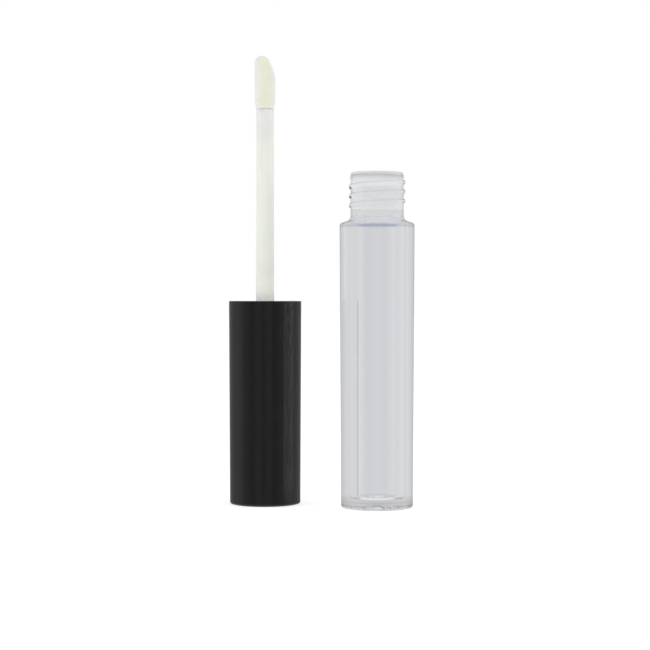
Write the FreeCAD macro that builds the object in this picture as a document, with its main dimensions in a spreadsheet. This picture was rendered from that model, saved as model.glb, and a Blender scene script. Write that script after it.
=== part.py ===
"""Lip gloss tube: a clear screw-necked bottle with its wiper, and beside it the black cap,
standing on its closed end with the wand and the flocked doe-foot upwards.

Millimetres, +Z up. The origin is on the floor, under the middle of the whole part's box.
The bottle's pieces are drawn about the bottle's axis, from its base up. The applicator's
pieces are drawn about the cap's axis, from the cap's closed end up to the doe-foot.
"""
import FreeCAD, Part
import math
import os

import Sketcher

DIMENSIONS = {
    # where the cap stands, counted from the bottle's axis
    "stand_left": 26.4,
    "stand_behind": 8.0,
    # bottle
    "bottle_base_radius": 8.36,
    "bottle_shoulder_radius": 8.75,
    "bottle_base_round": 0.55,
    "shoulder_height": 66.26,
    "shoulder_angle": 18.0,
    "shoulder_round": 0.9,
    "neck_radius": 6.2,
    "neck_root_round": 1.35,
    "neck_height": 77.6,
    "neck_rim_round": 0.25,
    "bore_radius": 4.6,
    "floor_height": 2.2,
    "floor_round": 0.7,
    "dimple_radius": 2.5,
    "dimple_depth": 1.15,
    # screw thread, on the neck and in the inner cap
    "pitch": 2.18,
    "thread_root": 1.25,
    "thread_crest": 0.45,
    "neck_thread_radius": 6.58,
    "neck_thread_start": 70.29,
    "neck_thread_turns": 2.66,
    "neck_thread_angle": 150.0,
    "cap_thread_radius": 6.36,
    "cap_thread_start": 40.2,
    "cap_thread_turns": 1.75,
    "cap_thread_angle": 60.0,
    # wiper
    "wiper_flange_radius": 6.1,
    "wiper_flange": 0.6,
    "wiper_flange_round": 0.4,
    "wiper_length": 10.6,
    "wiper_radius": 4.5,
    "wiper_bead_radius": 4.57,
    "wiper_bead": 0.5,
    "wiper_low_bead": 4.77,
    "wiper_high_bead": 7.95,
    "wiper_bore_radius": 3.85,
    "wiper_lip_radius": 2.15,
    "wiper_lip": 0.45,
    "wiper_funnel": 2.4,
    # outer cap
    "cap_length": 48.2,
    "cap_top_radius": 8.38,
    "cap_rim_radius": 8.6,
    "cap_top_round": 0.55,
    "cap_rim_round": 0.2,
    "cap_top_thickness": 1.3,
    "cap_chamber_radius": 7.2,
    "cap_bore_radius": 7.7,
    "cap_step_height": 24.2,
    # inner cap
    "liner_length": 23.4,
    "liner_radius": 7.58,
    "liner_wall_radius": 6.75,
    "liner_skirt_radius": 6.6,
    "liner_seat_height": 35.35,
    "liner_disc": 1.5,
    "liner_boss_radius": 3.8,
    "liner_boss_length": 9.0,
    "liner_rim_chamfer": 0.35,
    "rib_radius": 7.69,
    "rib_width": 0.8,
    "rib_start": 1.0,
    "rib_length": 20.0,
    "rib_count": 12,
    # cap gasket
    "gasket_thickness": 0.95,
    "gasket_inner_radius": 3.5,
    "gasket_outer_radius": 6.66,
    "gasket_gap": 0.03,
    # wand
    "shank_radius": 2.42,
    "shank_length": 8.4,
    "shank_chamfer": 0.5,
    "flange_radius": 3.4,
    "flange_thickness": 1.05,
    "rod_root_radius": 2.2,
    "rod_radius": 2.045,
    "rod_taper_end": 71.0,
    "rod_end": 93.85,
    "socket_radius": 1.12,
    "socket_depth": 6.6,
    # doe-foot
    "foot_radius": 2.36,
    "foot_top": 106.25,
    "slant_start": 98.0,
    "slant_lead": 0.25,
    "slant_bulge": 0.6,
    "slant_top_offset": 0.25,
    "core_slant_inset": 0.55,
    "foot_round": 1.5,
    "flock_depth": 1.0,
    "core_round": 0.45,
    "bead_radius": 1.82,
    "bead_height": 0.65,
    "peg_radius": 1.1,
    "peg_length": 6.3,
    # how far an added feature starts inside its wall, and how far a cut runs past the solid
    "bite": 0.15,
    "overcut": 2.0,
}

BOTTLE_X = "(dims.stand_left + dims.cap_rim_radius - dims.bottle_shoulder_radius) / 2"
BOTTLE_Y = "-(dims.stand_behind + dims.cap_rim_radius - dims.bottle_shoulder_radius) / 2"
CAP_X = f"{BOTTLE_X} - dims.stand_left"
CAP_Y = f"{BOTTLE_Y} + dims.stand_behind"

# driving lengths that several pieces share
WIPER_BOTTOM = "(dims.neck_height - dims.wiper_length)"
LINER_TOP = "(dims.cap_step_height + dims.liner_length)"
DISC_BOTTOM = "(dims.liner_seat_height - dims.liner_disc)"
BOSS_BOTTOM = f"({DISC_BOTTOM} - dims.liner_boss_length)"
FLANGE_TOP = "(dims.liner_seat_height + dims.flange_thickness)"
SHANK_BOTTOM = "(dims.liner_seat_height - dims.shank_length)"
CORE_RADIUS = "(dims.foot_radius - dims.flock_depth)"
CORE_TOP = "(dims.foot_top - dims.flock_depth)"
BEAD_TOP = "(dims.rod_end + dims.bead_height)"

PARTS_FOLDER = "parts"
SAME = 1e-4
LEAST_LEFT_BY_SLANT = 0.8
MOST_LEFT_BY_SLANT = 0.98

doc = FreeCAD.newDocument("LipGlossTube")


def make_sheet():
    """The spreadsheet of driving dimensions, one named cell to a row."""
    made = doc.addObject("Spreadsheet::Sheet", "dims")
    for row, (name, size) in enumerate(DIMENSIONS.items(), start=1):
        made.set(f"A{row}", name)
        made.set(f"B{row}", str(size))
        made.setAlias(f"B{row}", name)
    doc.recompute()
    return made


sheet = make_sheet()


def size_of(expression):
    """An expression's value, in millimetres, degrees or a plain count."""
    found = sheet.evalExpression(str(expression).replace("dims.", ""))
    return float(getattr(found, "Value", found))


def bind(thing, **expressions):
    """Tie properties to expressions; a double underscore in a name stands for a dot."""
    for name, expression in expressions.items():
        thing.setExpression(name.replace("__", "."), str(expression))


def place(piece, x, y):
    """Stand a piece on its own axis."""
    bind(piece, Placement__Base__x=x, Placement__Base__y=y)


def origin_part(body, role):
    """One of a body's own origin planes or axes."""
    return next(f for f in body.Origin.OriginFeatures if f.Role == role)


def new_body(label):
    """An empty body whose label is its node's name."""
    body = doc.addObject("PartDesign::Body", label)
    body.Label = label
    return body


def outline_sketch(body, name, corners, role="XZ_Plane", closed=True):
    """Straight lines through corners, each an (across, up) pair of expressions."""
    sketch = body.newObject("Sketcher::SketchObject", name)
    sketch.AttachmentSupport = (origin_part(body, role), "")
    sketch.MapMode = "FlatFace"
    points = [FreeCAD.Vector(size_of(a), size_of(u), 0) for a, u in corners]
    ends = points[1:] + points[:1] if closed else points[1:]
    for start, end in zip(points, ends):
        sketch.addGeometry(Part.LineSegment(start, end), False)
    for line in range(len(ends) if closed else len(ends) - 1):
        following = (line + 1) % len(ends)
        sketch.addConstraint(Sketcher.Constraint("Coincident", line, 2, following, 1))
    for line, (across, up) in enumerate(corners[: len(ends)]):
        pin_point(sketch, line, 1, across, up)
    return sketch


def pin_point(sketch, curve, end, across, up):
    """Hold one end of a line or arc at its place, on the axes or by two bound distances."""
    for kind, expression, axis in (("DistanceX", across, -2), ("DistanceY", up, -1)):
        size = size_of(expression)
        if abs(size) < SAME:
            sketch.addConstraint(Sketcher.Constraint("PointOnObject", curve, end, axis))
            continue
        number = sketch.addConstraint(Sketcher.Constraint(kind, -1, 1, curve, end, size))
        label = f"{kind}{curve}"
        sketch.renameConstraint(number, label)
        sketch.setExpression(f"Constraints.{label}", str(expression))


def turned(body, name, corners, kind="PartDesign::Revolution"):
    """Add (or with a Groove, cut away) an outline turned right round the body's axis."""
    sketch = outline_sketch(body, name + "Outline", corners)
    feature = body.newObject(kind, name)
    feature.Profile = sketch
    feature.ReferenceAxis = (sketch, ["V_Axis"])
    feature.Angle = 360
    doc.recompute()
    return feature


def rounded(body, name, rings, radius, kind="PartDesign::Fillet"):
    """Round or chamfer the circular edges at the given (radius, height) places."""
    base = body.Tip
    names = [edge_at(base.Shape, size_of(r), size_of(u)) for r, u in rings]
    feature = body.newObject(kind, name)
    feature.Base = (base, names)
    bind(feature, **{"Radius" if kind.endswith("Fillet") else "Size": radius})
    doc.recompute()
    return feature


def edge_at(shape, radius, height):
    """The name of the full circle of this radius, at this height, about the body's axis."""
    for number, edge in enumerate(shape.Edges, start=1):
        curve = edge.Curve
        if not isinstance(curve, Part.Circle):
            continue
        if abs(curve.Radius - radius) < SAME and abs(curve.Center.z - height) < SAME:
            return f"Edge{number}"
    raise RuntimeError(f"no edge of radius {radius} at height {height}")


def thread(body, name, wall, crest, start, turns, angle):
    """A right-handed ridge, wound on the wall and running out to the crest's radius."""
    inwards = "-" if size_of(crest) > size_of(wall) else "+"
    root = f"({wall} {inwards} dims.bite)"
    sketch = outline_sketch(
        body,
        name + "Outline",
        [
            (root, f"{start} - dims.thread_root / 2"),
            (crest, f"{start} - dims.thread_crest / 2"),
            (crest, f"{start} + dims.thread_crest / 2"),
            (root, f"{start} + dims.thread_root / 2"),
        ],
    )
    sketch.AttachmentOffset = FreeCAD.Placement(
        FreeCAD.Vector(), FreeCAD.Rotation(FreeCAD.Vector(0, 1, 0), size_of(angle))
    )
    feature = body.newObject("PartDesign::AdditiveHelix", name)
    feature.Profile = sketch
    feature.ReferenceAxis = (origin_part(body, "Z_Axis"), [""])
    feature.Mode = 0
    bind(feature, Pitch="dims.pitch", Height=f"dims.pitch * {turns}")
    feature.LeftHanded = False
    doc.recompute()
    return feature


def make_bottle():
    """The clear tube: thick wall, plain bore, sloping shoulder, threaded neck, dimpled base."""
    body = new_body("bottle")
    slope = "tan(dims.shoulder_angle * 1 deg)"
    neck_root = (
        f"(dims.shoulder_height + (dims.bottle_shoulder_radius - dims.neck_radius) * {slope})"
    )
    turned(
        body,
        "Wall",
        [
            ("0", "0"),
            ("dims.bottle_base_radius", "0"),
            ("dims.bottle_shoulder_radius", "dims.shoulder_height"),
            ("dims.neck_radius", neck_root),
            ("dims.neck_radius", "dims.neck_height"),
            ("0", "dims.neck_height"),
        ],
    )
    before = body.Shape.Volume
    turned(
        body,
        "Cavity",
        [
            ("0", "dims.floor_height"),
            ("dims.bore_radius", "dims.floor_height"),
            ("dims.bore_radius", "dims.neck_height + dims.overcut"),
            ("0", "dims.neck_height + dims.overcut"),
        ],
        kind="PartDesign::Groove",
    )
    bore = math.pi * size_of("dims.bore_radius") ** 2 * size_of("dims.neck_height - dims.floor_height")
    if abs(before - body.Shape.Volume - bore) > SAME * bore:
        raise RuntimeError("the bottle's cavity cut the wrong volume")
    base_ring = [("dims.bottle_base_radius", "0")]
    rounded(body, "BaseRound", base_ring, "dims.bottle_base_round")
    shoulder_ring = [("dims.bottle_shoulder_radius", "dims.shoulder_height")]
    rounded(body, "ShoulderRound", shoulder_ring, "dims.shoulder_round")
    rounded(body, "NeckRoot", [("dims.neck_radius", neck_root)], "dims.neck_root_round")
    rim_ring = [("dims.neck_radius", "dims.neck_height")]
    rounded(body, "NeckRim", rim_ring, "dims.neck_rim_round")
    rounded(body, "FloorRound", [("dims.bore_radius", "dims.floor_height")], "dims.floor_round")
    dimple(body)
    thread(
        body,
        "NeckThread",
        wall="dims.neck_radius",
        crest="dims.neck_thread_radius",
        start="dims.neck_thread_start",
        turns="dims.neck_thread_turns",
        angle="dims.neck_thread_angle",
    )
    place(body, BOTTLE_X, BOTTLE_Y)
    return body


def dimple(body):
    """The hollow of the moulding gate, a shallow round dish in the middle of the base."""
    before = body.Shape.Volume
    dish = body.newObject("PartDesign::SubtractiveSphere", "GateDimple")
    radius = "((dims.dimple_radius ^ 2 + dims.dimple_depth ^ 2) / (2 * dims.dimple_depth))"
    dish.AttachmentSupport = (origin_part(body, "XY_Plane"), "")
    dish.MapMode = "FlatFace"
    bind(dish, Radius=radius, AttachmentOffset__Base__z=f"dims.dimple_depth - {radius}")
    doc.recompute()
    disc = math.pi * size_of("dims.dimple_radius") ** 2 * size_of("dims.dimple_depth")
    if not 0 < before - body.Shape.Volume < disc:
        raise RuntimeError("the gate dimple cut the wrong volume")


def make_wiper():
    """The soft plug: a flange over the rim, a thin sleeve with two beads, and a wiping lip."""
    body = new_body("wiper")
    sleeve = [
        ("dims.wiper_lip_radius", WIPER_BOTTOM),
        ("dims.wiper_lip_radius + dims.wiper_lip", WIPER_BOTTOM),
        ("dims.wiper_radius", f"{WIPER_BOTTOM} + dims.wiper_funnel"),
    ]
    for height in ("dims.wiper_low_bead", "dims.wiper_high_bead"):
        bead = f"({WIPER_BOTTOM} + {height})"
        sleeve += [
            ("dims.wiper_radius", bead),
            ("dims.wiper_bead_radius", f"{bead} + dims.wiper_bead / 4"),
            ("dims.wiper_bead_radius", f"{bead} + dims.wiper_bead * 3 / 4"),
            ("dims.wiper_radius", f"{bead} + dims.wiper_bead"),
        ]
    flange_top = "(dims.neck_height + dims.wiper_flange)"
    sleeve += [
        ("dims.wiper_radius", "dims.neck_height"),
        ("dims.wiper_flange_radius", "dims.neck_height"),
        ("dims.wiper_flange_radius", flange_top),
        ("dims.wiper_bore_radius", flange_top),
        ("dims.wiper_bore_radius", f"{WIPER_BOTTOM} + dims.wiper_funnel + dims.wiper_lip"),
        ("dims.wiper_lip_radius", f"{WIPER_BOTTOM} + dims.wiper_lip"),
    ]
    turned(body, "Sleeve", sleeve)
    ring = [("dims.wiper_flange_radius", flange_top)]
    rounded(body, "FlangeRound", ring, "dims.wiper_flange_round")
    place(body, BOTTLE_X, BOTTLE_Y)
    return body


def make_outer_cap():
    """The black shell: closed at its foot, a wide bore for the inner cap down to a step."""
    body = new_body("outer_cap")
    turned(
        body,
        "Shell",
        [
            ("0", "0"),
            ("dims.cap_top_radius", "0"),
            ("dims.cap_rim_radius", "dims.cap_length"),
            ("dims.cap_bore_radius", "dims.cap_length"),
            ("dims.cap_bore_radius", "dims.cap_step_height"),
            ("dims.cap_chamber_radius", "dims.cap_step_height"),
            ("dims.cap_chamber_radius", "dims.cap_top_thickness"),
            ("0", "dims.cap_top_thickness"),
        ],
    )
    rounded(body, "TopRound", [("dims.cap_top_radius", "0")], "dims.cap_top_round")
    rim_rings = [
        ("dims.cap_rim_radius", "dims.cap_length"),
        ("dims.cap_bore_radius", "dims.cap_length"),
    ]
    rounded(body, "RimRound", rim_rings, "dims.cap_rim_round")
    place(body, CAP_X, CAP_Y)
    return body


def make_inner_cap():
    """The threaded liner: a cup over a disc, a boss under it for the wand, and grip ribs."""
    body = new_body("inner_cap")
    turned(
        body,
        "Liner",
        [
            ("dims.liner_skirt_radius", "dims.cap_step_height"),
            ("dims.liner_radius", "dims.cap_step_height"),
            ("dims.liner_radius", LINER_TOP),
            ("dims.liner_wall_radius", LINER_TOP),
            ("dims.liner_wall_radius", "dims.liner_seat_height"),
            ("dims.shank_radius", "dims.liner_seat_height"),
            ("dims.shank_radius", BOSS_BOTTOM),
            ("dims.liner_boss_radius", BOSS_BOTTOM),
            ("dims.liner_boss_radius", DISC_BOTTOM),
            ("dims.liner_skirt_radius", DISC_BOTTOM),
        ],
    )
    mouth = [("dims.liner_wall_radius", LINER_TOP)]
    rounded(body, "Mouth", mouth, "dims.liner_rim_chamfer", kind="PartDesign::Chamfer")
    grip_ribs(body)
    thread(
        body,
        "CapThread",
        wall="dims.liner_wall_radius",
        crest="dims.cap_thread_radius",
        start="dims.cap_thread_start",
        turns="dims.cap_thread_turns",
        angle="dims.cap_thread_angle",
    )
    place(body, CAP_X, CAP_Y)
    return body


def grip_ribs(body):
    """Upright ribs round the liner, which stop it turning in the shell."""
    sketch = outline_sketch(
        body,
        "RibOutline",
        [
            ("dims.liner_radius - dims.bite", "-dims.rib_width / 2"),
            ("dims.rib_radius", "-dims.rib_width / 4"),
            ("dims.rib_radius", "dims.rib_width / 4"),
            ("dims.liner_radius - dims.bite", "dims.rib_width / 2"),
        ],
        role="XY_Plane",
    )
    bind(sketch, AttachmentOffset__Base__z="dims.cap_step_height + dims.rib_start")
    rib = body.newObject("PartDesign::Pad", "Rib")
    rib.Profile = sketch
    bind(rib, Length="dims.rib_length")
    doc.recompute()
    before = body.Shape.Volume
    ribs = body.newObject("PartDesign::PolarPattern", "Ribs")
    ribs.Originals = [rib]
    ribs.Axis = (origin_part(body, "Z_Axis"), [""])
    ribs.Angle = 360
    bind(ribs, Occurrences="dims.rib_count")
    body.Tip = ribs
    doc.recompute()
    if body.Shape.Volume <= before:
        raise RuntimeError("the grip ribs were not repeated")


def make_cap_gasket():
    """The flat sealing ring that lies on the liner's disc, round the wand's flange."""
    body = new_body("cap_gasket")
    low = "(dims.liner_seat_height + dims.gasket_gap)"
    turned(
        body,
        "Ring",
        [
            ("dims.gasket_inner_radius", low),
            ("dims.gasket_outer_radius", low),
            ("dims.gasket_outer_radius", f"{low} + dims.gasket_thickness"),
            ("dims.gasket_inner_radius", f"{low} + dims.gasket_thickness"),
        ],
    )
    place(body, CAP_X, CAP_Y)
    return body


def make_wand_stem():
    """The rod: a shank in the liner's boss, a flange on its disc, a long taper, and a socket."""
    body = new_body("wand_stem")
    socket_bottom = "(dims.rod_end - dims.socket_depth)"
    turned(
        body,
        "Rod",
        [
            ("0", SHANK_BOTTOM),
            ("dims.shank_radius - dims.shank_chamfer", SHANK_BOTTOM),
            ("dims.shank_radius", f"{SHANK_BOTTOM} + dims.shank_chamfer"),
            ("dims.shank_radius", "dims.liner_seat_height"),
            ("dims.flange_radius", "dims.liner_seat_height"),
            ("dims.flange_radius", FLANGE_TOP),
            ("dims.rod_root_radius", FLANGE_TOP),
            ("dims.rod_radius", "dims.rod_taper_end"),
            ("dims.rod_radius", "dims.rod_end"),
            ("dims.socket_radius", "dims.rod_end"),
            ("dims.socket_radius", socket_bottom),
            ("0", socket_bottom),
        ],
    )
    place(body, CAP_X, CAP_Y)
    return body


def doe_foot(name, radius, top, slant_offset, edge_round):
    """A round rod's domed end, cut to a bulging slant on its +X side."""
    body = new_body(name)
    turned(
        body,
        "Rod",
        [
            ("0", "dims.rod_end"),
            (radius, "dims.rod_end"),
            (radius, top),
            ("0", top),
        ],
    )
    rounded(body, "Dome", [(radius, top)], edge_round)
    before = body.Shape.Volume
    cut = body.newObject("PartDesign::Pocket", "Slant")
    cut.Profile = slant_sketch(body, radius, top, slant_offset)
    cut.Type = "ThroughAll"
    cut.SideType = "Symmetric"
    doc.recompute()
    if not LEAST_LEFT_BY_SLANT < body.Shape.Volume / before < MOST_LEFT_BY_SLANT:
        raise RuntimeError("the doe-foot's slant cut the wrong volume")
    return body


def slant_sketch(body, radius, top, offset):
    """The waste beside the slanted face: an arc from beyond the rod's side to its top, and a box."""
    side = f"({radius} + dims.slant_lead)"
    low = "dims.slant_start"
    outside, above = f"({side} + dims.overcut)", f"({top} + dims.overcut)"
    corners = [(offset, top), (offset, above), (outside, above), (outside, low), (side, low)]
    sketch = outline_sketch(body, "SlantOutline", corners, closed=False)
    last = len(corners) - 1
    start, end = sketch.Geometry[last - 1].EndPoint, sketch.Geometry[0].StartPoint
    chord = end - start
    bulge = FreeCAD.Vector(chord.y, -chord.x, 0).normalize() * size_of("dims.slant_bulge")
    arc = sketch.addGeometry(Part.Arc(start, (start + end) / 2 + bulge, end), False)
    sketch.addConstraint(Sketcher.Constraint("Coincident", last - 1, 2, arc, 1))
    sketch.addConstraint(Sketcher.Constraint("Coincident", arc, 2, 0, 1))
    pin_point(sketch, arc, 1, side, low)
    half_chord = f"((({side} - {offset}) ^ 2 + ({top} - {low}) ^ 2) / 4)"
    reach = f"({half_chord} + dims.slant_bulge ^ 2) / (2 * dims.slant_bulge)"
    curve = sketch.addConstraint(Sketcher.Constraint("Radius", arc, size_of(reach)))
    sketch.renameConstraint(curve, "SlantRadius")
    sketch.setExpression("Constraints.SlantRadius", reach)
    return sketch


def make_applicator_core():
    """The doe-foot's own core, with the peg that holds it in the wand's socket."""
    slant = "(dims.slant_top_offset - dims.core_slant_inset)"
    core = doe_foot("applicator_core", CORE_RADIUS, CORE_TOP, slant, "dims.core_round")
    peg_bottom = "(dims.rod_end - dims.peg_length)"
    turned(
        core,
        "Peg",
        [
            ("0", peg_bottom),
            ("dims.peg_radius", peg_bottom),
            ("dims.peg_radius", "dims.rod_end + dims.bite"),
            ("0", "dims.rod_end + dims.bite"),
        ],
    )
    place(core, CAP_X, CAP_Y)
    return core


def make_adhesive_bead():
    """The ring of flocking glue round the root of the core."""
    body = new_body("adhesive_bead")
    turned(
        body,
        "Ring",
        [
            (CORE_RADIUS, "dims.rod_end"),
            ("dims.bead_radius", "dims.rod_end"),
            (CORE_RADIUS, BEAD_TOP),
        ],
    )
    place(body, CAP_X, CAP_Y)
    return body


def make_flock_tip(core, bead):
    """The flock, as one closed sleeve of its outer shape, less the core and the glue in it."""
    outer = doe_foot(
        "flock_outside",
        "dims.foot_radius",
        "dims.foot_top",
        "dims.slant_top_offset",
        "dims.foot_round",
    )
    place(outer, CAP_X, CAP_Y)
    over_core = less("flock_over_core", outer, core)
    return less("flock_tip", over_core, bead)


def less(label, base, tool):
    """One shape with another cut out of it."""
    cut = doc.addObject("Part::Cut", label)
    cut.Label = label
    cut.Base = base
    cut.Tool = tool
    doc.recompute()
    return cut


def build():
    """Every sub-part, in the order a bench would put them together."""
    bottle_side = [make_bottle(), make_wiper()]
    cap_side = [make_outer_cap(), make_inner_cap(), make_cap_gasket(), make_wand_stem()]
    core = make_applicator_core()
    bead = make_adhesive_bead()
    return bottle_side + cap_side + [core, bead, make_flock_tip(core, bead)]


def check(pieces):
    """Stop if anything in the document failed, or a piece isn't one closed valid solid."""
    for thing in doc.Objects:
        if {"Invalid", "Error"} & set(thing.State):
            raise RuntimeError(f"{thing.Label} is {thing.State}")
    for piece in pieces:
        shape = piece.Shape
        if shape.isNull() or not shape.isValid() or len(shape.Solids) != 1:
            raise RuntimeError(f"{piece.Label} isn't one valid solid")


def write(pieces):
    """One STEP file to a sub-part, named for its node."""
    os.makedirs(PARTS_FOLDER, exist_ok=True)
    for piece in pieces:
        piece.Shape.exportStep(f"{PARTS_FOLDER}/{piece.Label}.step")
        box = piece.Shape.BoundBox
        corners = [round(v, 2) for v in (box.XMin, box.YMin, box.ZMin, box.XMax, box.YMax, box.ZMax)]
        print(piece.Label, round(piece.Shape.Volume, 2), corners)


pieces = build()
doc.recompute()
check(pieces)
write(pieces)
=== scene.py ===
"""The looks of the lip gloss tube: a clear screw-necked bottle with its milky wiper, and beside
it the gloss black cap on its closed end, with the natural plastic wand and the flocked doe-foot.

Outlines are in millimetres, about the axis of the bottle or of the cap, and heights are counted
from the floor, as in the CAD. Meshes are made in metres, where the frame says.
"""

import math

import bmesh
import bpy
import numpy as np
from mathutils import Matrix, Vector, noise


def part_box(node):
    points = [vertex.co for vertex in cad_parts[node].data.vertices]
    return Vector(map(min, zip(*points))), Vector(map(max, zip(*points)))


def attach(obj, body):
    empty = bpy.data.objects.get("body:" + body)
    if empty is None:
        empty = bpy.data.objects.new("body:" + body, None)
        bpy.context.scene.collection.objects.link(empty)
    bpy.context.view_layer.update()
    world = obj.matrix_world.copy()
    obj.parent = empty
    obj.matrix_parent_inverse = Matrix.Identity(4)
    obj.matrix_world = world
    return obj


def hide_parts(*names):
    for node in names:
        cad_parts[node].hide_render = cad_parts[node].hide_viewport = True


MM = 0.001
SEED = 20

# ---------------------------------------------------------------- sizes, in millimetres
# How fine the meshes are, and how near counts as on the axis, on a wall and the same place.
SEGMENTS, THREAD_ROW = 192, 0.09
ARC_STEP, CREASE = math.radians(9), math.radians(32)
ON_AXIS, ON_WALL, SAME_PLACE = 1e-6, 0.02, 1e-4

# The two threads. Angles are in degrees, and a thread fades in and out over part of a turn.
PITCH, THREAD_FADE = 2.18, 0.07
THREAD_ROOT_WIDTH, THREAD_CREST_WIDTH = 1.25, 0.45
THREAD_FLANK_WIDTH = (THREAD_ROOT_WIDTH - THREAD_CREST_WIDTH) / 2
THREAD_RADIUS, THREAD_START, THREAD_TURNS, THREAD_ANGLE = 6.58, 70.29, 2.66, 150
LINER_THREAD_RADIUS, LINER_THREAD_START = 6.36, 40.2
LINER_THREAD_TURNS, LINER_THREAD_ANGLE = 1.75, 60

# The bottle and its wiper.
BASE_RADIUS, SHOULDER_RADIUS, NECK_RADIUS, BORE_RADIUS = 8.36, 8.75, 6.2, 4.6
SHOULDER_HEIGHT, NECK_HEIGHT, FLOOR_HEIGHT = 66.26, 77.6, 2.2
SHOULDER_SLOPE = math.tan(math.radians(18))
NECK_ROOT_HEIGHT = SHOULDER_HEIGHT + (SHOULDER_RADIUS - NECK_RADIUS) * SHOULDER_SLOPE
DIMPLE_RADIUS, DIMPLE_DEPTH, DIMPLE_STEPS = 2.5, 1.15, 14
WIPER_BOTTOM, WIPER_LIP, WIPER_BORE, WIPER_TOP = 67.0, 2.15, 3.85, NECK_HEIGHT + 0.6
WIPER_SLEEVE, WIPER_BEAD, WIPER_FLANGE = BORE_RADIUS + 0.02, BORE_RADIUS + 0.05, 6.1

# The cap, its liner and its gasket.
CAP_RADIUS, CAP_MOUTH_RADIUS, CAP_LENGTH = 8.38, 8.6, 48.2
CAP_BORE, CAP_LOWER_BORE, CAP_STEP, CAP_FLOOR = 7.7, 7.2, 24.2, 1.3
LINER_RADIUS, LINER_WALL, LINER_SKIRT = 7.58, 6.75, 6.6
LINER_TOP, LINER_SEAT, DISC_BOTTOM, BOSS_BOTTOM, BOSS_RADIUS = 47.6, 35.35, 33.85, 24.85, 3.8
RIB_COUNT, RIB_HEIGHT, RIB_WIDTH = 12, 0.11, 0.8
GASKET_HOLE, GASKET_RADIUS = 3.5, 6.66
GASKET_BOTTOM, GASKET_TOP = LINER_SEAT + 0.03, LINER_SEAT + 0.98

# The wand: its shank in the liner's boss, its flange, its rod and the socket for the core's peg.
SHANK_RADIUS, SHANK_BOTTOM = 2.42, 26.95
FLANGE_RADIUS, FLANGE_TOP = 3.4, 36.4
ROD_ROOT, ROD_RADIUS, ROD_TAPER_END, ROD_END = 2.2, 2.045, 71.0, 93.85
SOCKET_RADIUS, SOCKET_DEPTH = 1.12, 6.6
SEAM_HEIGHT, SEAM_HALF_WIDTH = 0.02, 0.12

# The doe-foot: its outer shape, its core, the glue's bead, and the flock's ruffle and fibres.
FOOT_RADIUS, FOOT_TOP, FOOT_ROUND, FOOT_CROWN = 2.36, 106.25, 1.5, 0.95
CORE_RADIUS, CORE_TOP, CORE_ROUND = 1.36, 105.25, 0.45
SLANT_START, SLANT_LEAD, SLANT_BULGE, SLANT_EDGE = 98.0, 0.25, 0.6, 0.07
SLANT_TOP, CORE_SLANT_TOP = 0.25, -0.3
BEAD_RADIUS, BEAD_TOP = 1.82, 94.5
PEG_RADIUS, PEG_BOTTOM = 1.1, 87.55
RUFFLE_DEPTH, RUFFLE_GRAINS = 0.03, 1.4
FIBRES, FIBRE_LEAN, FIBRE_ROOT = 9000, 0.3, 0.03
FIBRE_LENGTH, FIBRE_RADIUS = (0.1, 0.24), (0.012, 0.018)

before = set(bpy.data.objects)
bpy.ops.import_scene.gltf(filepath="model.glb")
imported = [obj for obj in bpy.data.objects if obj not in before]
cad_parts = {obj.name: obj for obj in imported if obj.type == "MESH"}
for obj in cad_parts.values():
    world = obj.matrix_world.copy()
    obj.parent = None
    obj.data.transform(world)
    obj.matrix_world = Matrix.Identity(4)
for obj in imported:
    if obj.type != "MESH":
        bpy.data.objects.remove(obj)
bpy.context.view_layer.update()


def axis_of(node):
    """Where a round CAD node's own axis stands, in millimetres."""
    low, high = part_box(node)
    return (low.x + high.x) / 2 / MM, (low.y + high.y) / 2 / MM


BOTTLE_AXIS = axis_of("bottle")
CAP_AXIS = axis_of("outer_cap")


# ---------------------------------------------------------------- outlines
def outline(*corners):
    """A line through (radius, height, rounding) corners; each rounding becomes an arc."""
    points = []
    for number, (radius, height, rounding) in enumerate(corners):
        here = np.array((radius, height), float)
        if not rounding:
            points.append(tuple(here))
            continue
        before = np.array(corners[number - 1][:2], float)
        after = np.array(corners[(number + 1) % len(corners)][:2], float)
        back = (before - here) / np.linalg.norm(before - here)
        onward = (after - here) / np.linalg.norm(after - here)
        half = math.acos(float(np.clip(back @ onward, -1, 1))) / 2
        middle = (back + onward) / np.linalg.norm(back + onward)
        centre = here + middle * rounding / math.sin(half)
        first = here + back * rounding / math.tan(half) - centre
        last = here + onward * rounding / math.tan(half) - centre
        turn = math.pi - 2 * half
        steps = max(2, math.ceil(turn / ARC_STEP))
        for step in range(steps + 1):
            share = step / steps
            spoke = math.sin((1 - share) * turn) * first + math.sin(share * turn) * last
            points.append(tuple(centre + spoke / math.sin(turn)))
    return points


def finer(points, step, low=-math.inf, high=math.inf, wall=None):
    """The same line with more points on it, between two heights and on one wall if asked."""
    made = [points[0]]
    for start, end in zip(points, points[1:]):
        start, end = np.array(start), np.array(end)
        middle = (start + end) / 2
        wanted = low <= middle[1] <= high and (wall is None or abs(middle[0] - wall) < ON_WALL)
        count = max(1, math.ceil(np.linalg.norm(end - start) / step)) if wanted else 1
        made += [tuple(start + (end - start) * n / count) for n in range(1, count + 1)]
    return made


def smooth(share):
    """0 to 1 with soft ends."""
    share = np.clip(share, 0, 1)
    return share * share * (3 - 2 * share)


# ---------------------------------------------------------------- round meshes
def circle(angles, radius, height):
    """The plain section of a round piece, which is the same at every height."""
    return radius * np.cos(angles), radius * np.sin(angles)


def raised(relief):
    """A circle whose radius a relief changes: relief(angles, radius, height) in millimetres."""

    def shape(angles, radius, height):
        return circle(angles, radius + relief(angles, radius, height), height)

    return shape


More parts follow.
